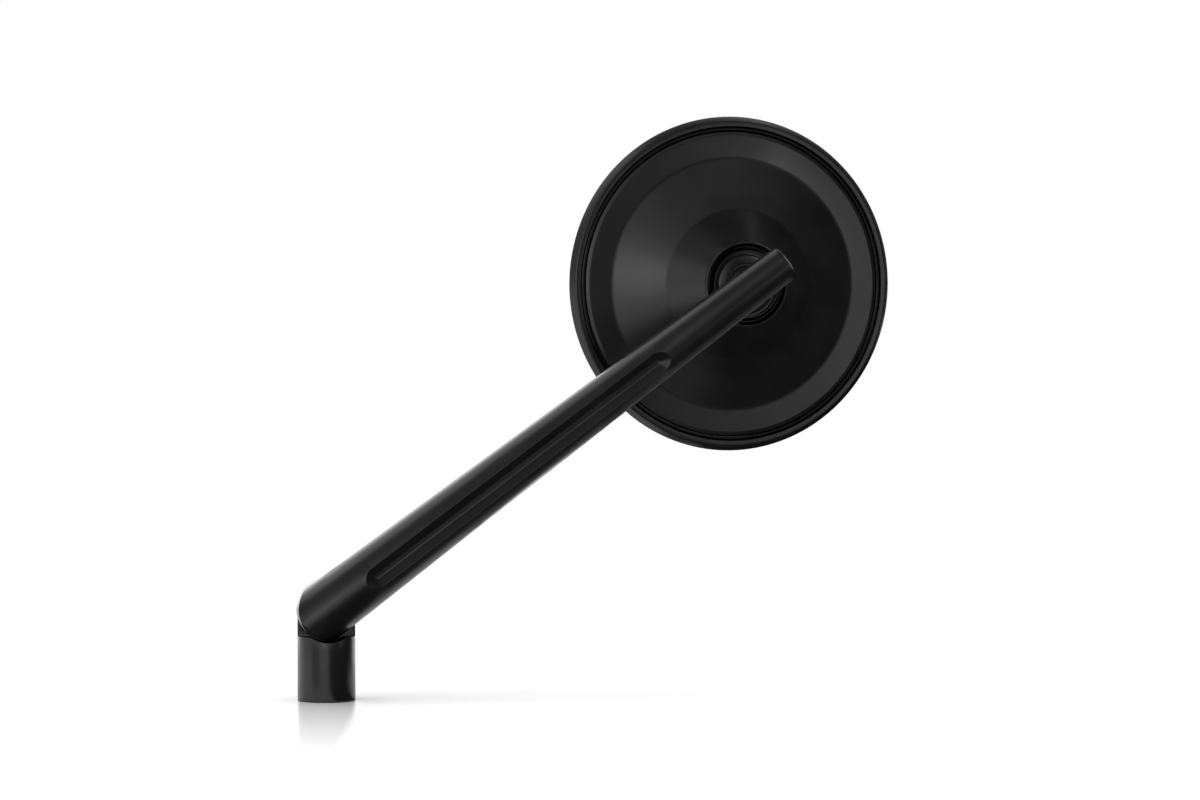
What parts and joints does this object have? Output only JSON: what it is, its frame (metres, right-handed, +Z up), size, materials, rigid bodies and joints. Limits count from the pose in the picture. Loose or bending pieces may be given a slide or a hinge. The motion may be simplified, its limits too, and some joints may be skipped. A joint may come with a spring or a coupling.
{
  "type": "motorcycle bar end mirror",
  "caption": "Round rear view mirror for a handlebar: a convex glass in a stepped dish head on a sprung ball joint, carried by a tapered arm that tilts on a lapped hinge over a threaded foot.",
  "frame": {"origin": "centre of the foot's underside, at the mouth of the threaded socket", "axes": "+Z up the foot, +X towards the head, +Y the way the glass looks; the hinge axis runs along Y"},
  "size_m": [0.1832, 0.0522, 0.1701],
  "materials": {
    "black_anodised": "satin black anodised",
    "black_steel": "black oxide",
    "spring_steel": "plain spring steel",
    "bronze": "sintered",
    "washer_plastic": "matte",
    "liner_plastic": "matte",
    "seal_rubber": "matte",
    "pad_rubber": "soft adhesive pad",
    "mirror_glass": "polished, silvered"
  },
  "bodies": {
    "foot": {"base_post": "black_anodised", "hinge_bush": "bronze", "front_friction_washer": "washer_plastic", "rear_friction_washer": "washer_plastic"},
    "arm_group": {"arm": "black_anodised", "hinge_bolt": "black_steel", "hinge_spring_washer": "spring_steel", "ball_stud": "black_steel", "stud_lock_screw": "black_steel"},
    "liner": {"ball_liner": "liner_plastic"},
    "seat": {"pressure_cup": "liner_plastic", "disc_springs": "spring_steel"},
    "head": {"housing": "black_anodised", "retaining_nut": "black_anodised", "hub_seal": "seal_rubber", "rim_ring": "black_anodised", "rim_seal": "seal_rubber", "mirror_glass": "mirror_glass", "backing_pad": "pad_rubber"}
  },
  "joints": [
    {"name": "arm_tilt", "type": "hinge", "parent": "foot", "child": "arm_group", "pos_m": [0, 0, 0.02633], "axis": [0, -1, 0], "range_deg": [-22, 128]},
    {"name": "head_yaw", "type": "hinge", "parent": "arm_group", "child": "liner", "pos_m": [0.12628, 0.0215, 0.12011], "axis": [0, 0, 1], "range_deg": [-25, 11]},
    {"name": "head_pitch", "type": "hinge", "parent": "liner", "child": "seat", "pos_m": [0.12628, 0.0215, 0.12011], "axis": [0.9925, 0.1219, 0], "range_deg": [-18, 18]},
    {"name": "head_spin", "type": "hinge", "parent": "seat", "child": "head", "pos_m": [0.12628, 0.0215, 0.12011], "axis": [0.1219, -0.9925, 0], "continuous": true}
  ]
}
